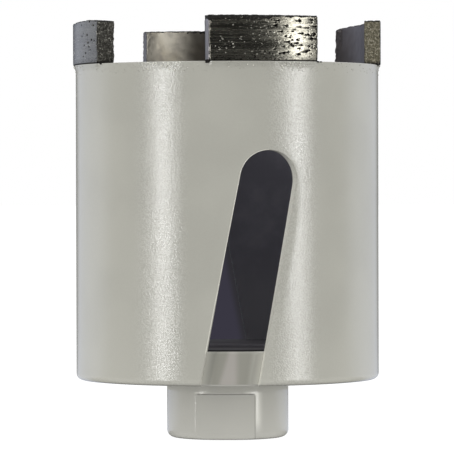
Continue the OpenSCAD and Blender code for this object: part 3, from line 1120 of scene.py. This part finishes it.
def slagAndShadeShader(graph):
    burnt = graph.noise(graph.place(), 3000.0)
    return graph.surface(slagAndShade["colour"], 0.5 + burnt * 0.3, graph.bump(burnt, 0.05 * mm), specular=0.1)


def buildSlagAndShade(s):
    material = makeMaterial("slagAndShade", slagAndShadeShader)
    ball, faces = unitBall(4)
    for number, (index, along, *size) in enumerate(s["drops"]):
        uneven = 0.75 + 0.5 * lumps(ball * 1.5 + number * 9.0, 1.0, 13)
        x, r, z = (ball * uneven[:, None] * np.array(size)).T
        x, r, z = x + along, r + barrel["outerR"] - s["sunk"], z + rimZ - s["sunk"]
        r = np.minimum(np.sqrt(np.maximum(r ** 2 - x ** 2, 0)), segment["outerR"] - s["inside"])
        piece = linkPiece("slag_%d" % (number + 1), atSegment(index, x, r, z), faces, [material])


buildSlagAndShade(slagAndShade)
print("slag laid")


# Spatter: fine beads that the welds threw on the tube under its rim, painted over; the coarse ones paler
# as painted glints
spatter = {
    "count": 420,
    # azimuth in degrees, spread and number of coarse beads, which take the paler edge paint as painted
    # glints
    "clusters": [(-24.0, 6.8, 26), (25.5, 5.5, 20), (4.0, 6.0, 3)],
    "coarse": (0.14, 0.24),   # mm, radius of a coarse bead
    "radius": (0.07, 0.17),   # mm, of the others
    "highest": 0.2,           # mm below the rim
    "reach": 2.0,             # mm below that
    "flatness": 0.7,
}


def buildSpatter(p, s=segment):
    random = np.random.default_rng(31)
    ball, loops = unitBall(2)
    coarse = [scattered(random, number, middle - spread, middle + spread)
              for middle, spread, number in p["clusters"]]
    azimuth = np.radians(np.concatenate([scattered(random, p["count"], 0, 360)] + coarse))
    count = len(azimuth)
    size = scattered(random, count, *p["radius"])
    size[p["count"]:] = scattered(random, count - p["count"], *p["coarse"])
    z = rimZ - p["highest"] - p["reach"] * random.random(count) ** 1.7
    pitch = 2 * math.pi / s["count"]
    aside = np.abs((azimuth - segmentTurn(0) + pitch / 2) % pitch - pitch / 2)
    under = aside < math.asin(s["length"] / 2 / s["outerR"])
    slope = np.clip(1 - (rimZ - z) / bead["height"], 0, 1) * under
    r = np.minimum(taperR(slope ** bead["bow"]), s["outerR"] - size * p["flatness"])
    out, up, along = (ball[None, :, k] * size[:, None] for k in range(3))
    out = r[:, None] + out * p["flatness"]
    points = polar(out, azimuth[:, None] + along / out, z[:, None] + up).reshape(-1, 3)
    faces = (loops[None] + len(ball) * np.arange(count)[:, None, None]).reshape(-1, 3)
    # The coarse beads take the paler edge paint: painted glints
    kinds = np.repeat(np.arange(count) >= p["count"], len(loops))
    piece = linkPiece("weldSpatter", points, faces, [paintMaterial, edgeMaterial], kinds, weld=False)


buildSpatter(spatter)
print("spatter thrown")


# Thread: the ridge of an M16 x 2 female thread, right-hand
thread = {
    "pitch": 2.0,
    "rootR": 8.05,       # mm, just inside the hub's wall
    "crestR": 6.92,
    "rootWidth": 1.75,
    "crestWidth": 0.5,
    "fromMouth": 0.95,   # mm, where it starts and stops
    "steps": 64,         # stations in one turn
}


def buildThread(t):
    low, high = t["fromMouth"], plateTopZ - t["fromMouth"]
    turns = (high - low) / t["pitch"]
    count = int(turns * t["steps"])
    angle = np.linspace(0, turns * 2 * math.pi, count + 1)[:, None]
    middle = low + angle / (2 * math.pi) * t["pitch"]
    across = np.array([-t["rootWidth"], -t["crestWidth"], t["crestWidth"], t["rootWidth"]])[None, :] / 2
    crest = np.array([0, 1, 1, 0])[None, :]
    # the crest runs out into the chamfers at both mouths
    chamferR = base["threadR"] + base["threadChamfer"] - np.minimum(middle, plateTopZ - middle)
    limit = np.clip(chamferR, t["crestR"], t["rootR"])
    r = t["rootR"] + (limit - t["rootR"]) * crest
    points = np.stack([r * np.cos(angle), r * np.sin(angle), middle + across + 0 * r], -1)
    wide = points.shape[1]
    faces = gridFaces(count + 1, wide) + [range(wide), range(count * wide, count * wide + wide)]
    piece = linkPiece("threadRidge", points.reshape(-1, 3), faces, [plateMaterial])
    for face in piece.data.polygons:
        face.use_smooth = False


buildThread(thread)
print("thread built")


# Floor, light and world. The fills light the bit but don't show in its gloss.
studio = {
    # azimuth in degrees, the rest in mm, and how bright it is where 1 is white
    "leftLamp": {"azimuth": -48.4, "width": 85.0, "height": 700.0, "middle": 100.0, "level": 10.2},
    "rightLamp": {"azimuth": 53.2, "width": 95.0, "height": 700.0, "middle": 100.0, "level": 8.6},
    "leftFill": {"azimuth": -60.0, "width": 300.0, "height": 110.0, "middle": 50.0, "level": 11.1},
    "rightFill": {"azimuth": 60.0, "width": 300.0, "height": 110.0, "middle": 50.0, "level": 10.2},
    "lampDistance": 620.0,
    "ambient": (0.27, 1.00, 0.85),    # from the front, from the sides and behind, and added from above
    "darkSide": 0.025,                # what the bit mirrors in front
    "paleFrom": (0.0, 0.45),          # where that turns pale, as the direction's share along +Y
    "backdrop": (0.62, 0.66, 0.79, 1.0),
    "outline": (0.88, 0.97),          # where the backdrop falls off, in the same share
    "outlineDark": 0.9,
    "overhead": grey(0.80),
    "overheadFrom": (0.65, 0.95),     # where that starts, as the direction's share upwards
    "sidesFrom": (-0.9, 0.3),         # where the sides' light starts, as its share along +Y
    "aboveFrom": (0.55, 0.9),         # and the light from above, as its share upwards
    "floorReach": 9000,               # mm, from the axis to the floor's edges
    "floorAlbedo": 0.8,
    "floorWhite": 0.86,               # share of the floor that is plain white to the camera
    "floorGlow": 1.13,
    "table": (0.42, 0.94),            # the floor's glow on the part, far from it and close to it
    "tableReach": (85.0, 30.0),       # mm
    "stripAside": 10.0,               # mm from the axis, where the floor shows a lamp's painted reflection
    "stripEdge": 8.0,                 # mm, its softness
    "stripFrom": (50.0, 110.0),       # mm, where it comes in
    "stripGrow": (50.0, 650.0),       # mm, along which it grows to full strength
    "stripStart": 0.60,               # its strength before that
}


def makeLamp(name, s):
    lamp = s[name]
    data = bpy.data.lights.new(name, "AREA")
    data.shape = "RECTANGLE"
    data.size, data.size_y = lamp["width"] * mm, lamp["height"] * mm
    data.energy = lamp["level"] * (data.size * data.size_y) * math.pi
    light = bpy.data.objects.new(name, data)
    light.visible_glossy = not name.endswith("Fill")
    angle, away, height = math.radians(lamp["azimuth"]), s["lampDistance"] * mm, lamp["middle"] * mm
    light.location = (away * math.sin(angle), -away * math.cos(angle), height)
    aim = Vector((0, 0, height)) - light.location
    light.rotation_euler = aim.to_track_quat("-Z", "Y").to_euler()
    bpy.context.scene.collection.objects.link(light)


# What the paint and metal mirror: dark towards the camera, pale behind, a soft panel overhead
def mirrored(graph, along, rise, s):
    level = graph.mixColour(graph.step(along, *s["paleFrom"]), grey(s["darkSide"]), s["backdrop"])
    level = graph.mixColour(graph.step(along, *s["outline"]) * s["outlineDark"], level, black)
    return graph.mixColour(graph.step(rise, *s["overheadFrom"]), level, s["overhead"])


def makeWorld(s):
    world = bpy.data.worlds.new("studio")
    bpy.context.scene.world = world
    world.use_nodes = True
    world.cycles.sampling_method = "NONE"
    graph = Graph(world.node_tree)
    x, y, z = graph.split(graph.node("TexCoord", output="Generated"))
    front, back, above = (grey(level) for level in s["ambient"])
    ambient = graph.mixColour(graph.step(y, *s["sidesFrom"]), front, back)
    ambient = graph.mixColour(graph.step(z, *s["aboveFrom"]), ambient, above, "ADD")
    colour = graph.mixColour(graph.ray("Glossy"), ambient, mirrored(graph, y, z, s))
    colour = graph.mixColour(graph.ray("Camera") + graph.ray("Transmission"), colour, white)
    background = graph.node("Background", {}, {"Color": colour, "Strength": 1.0})
    graph.node("OutputWorld", {}, {"Surface": background})


# Floor: white to the camera with a faint shadow, glowing to diffuse rays as light from below, and with
# painted reflections of the lamps that only glossy rays see
def floorShader(graph, s=studio):
    x, y, z = graph.split(graph.place())
    away = (x * x + y * y) ** 0.5
    paintedReflection = mirrored(graph, y / away, 0.0, s)
    for lamp in (s["leftLamp"], s["rightLamp"]):
        angle = math.radians(lamp["azimuth"])
        facing = x * math.sin(angle) - y * math.cos(angle)
        aside = x * math.cos(angle) + y * math.sin(angle) + math.copysign(s["stripAside"] * mm, angle)
        edge = facing * (lamp["width"] / 2 / s["lampDistance"])
        strip = graph.step(abs(aside) - edge, s["stripEdge"] * mm, 0.0)
        strip = strip * graph.over(facing, *s["stripFrom"])
        grown = graph.over(facing, *s["stripGrow"])
        strength = grown * (1 - s["stripStart"]) + s["stripStart"]
        paintedReflection = graph.mixColour(strip * strength, paintedReflection, grey(lamp["level"]))
    seen = graph.ray("Camera") * s["floorWhite"]
    matt = graph.node("BsdfDiffuse", {}, {"Color": grey(s["floorAlbedo"])})
    surface = graph.mixShader(seen, matt, graph.glow(white, s["floorGlow"]))
    close = graph.over(away, *s["tableReach"])
    table = graph.mixColour(close, *(grey(level) for level in s["table"]))
    surface = graph.mixShader(graph.ray("Diffuse"), surface, graph.glow(table))
    return graph.mixShader(graph.ray("Glossy"), surface, graph.glow(paintedReflection))


# Painted shade: a dark card that glows on the floor far behind the bit, which shows only through both
# slots
card = {
    "height": 0.2,   # mm
    "corners": [(-14, 440), (10, 440), (60, 8990), (-110, 8990)],   # mm
    "colour": linear(57, 55, 66),
    "darker": linear(48, 47, 51),
    # where it is darker, in pixels of the photograph's frame: right of a leaning line, and above a row
    "lineColumns": (169.5, 178.0),
    "lineLean": 0.199,
    "rows": (268.0, 240.0),
}


def cardShader(graph):
    x, y, z = graph.split(graph.place())
    away = y + camera["distance"] * mm
    row = camera["height"] * mm * camera["focalPixels"] / away + camera["horizonRow"]
    column = x * camera["focalPixels"] / away + camera["axisColumn"]
    right = graph.step(column - row * card["lineLean"], *card["lineColumns"])
    up = graph.step(row, *card["rows"])
    return graph.glow(graph.mixColour(graph.larger(right, up), card["colour"], card["darker"]))


def layFlat(name, corners, height, build):
    points = [(x, y, height) for x, y in corners]
    sheet = linkPiece(name, points, [(0, 1, 2, 3)], [makeMaterial(name, build)], weld=False)
    sheet.data.materials[0].cycles.emission_sampling = "NONE"


for name in ("leftLamp", "rightLamp", "leftFill", "rightFill"):
    makeLamp(name, studio)
makeWorld(studio)
reach = studio["floorReach"]
layFlat("floor", [(-reach, -reach), (reach, -reach), (reach, reach), (-reach, reach)], 0, floorShader)
layFlat("card", card["corners"], card["height"], cardShader)
bpy.context.scene.view_settings.view_transform = "Standard"
print("studio lit")
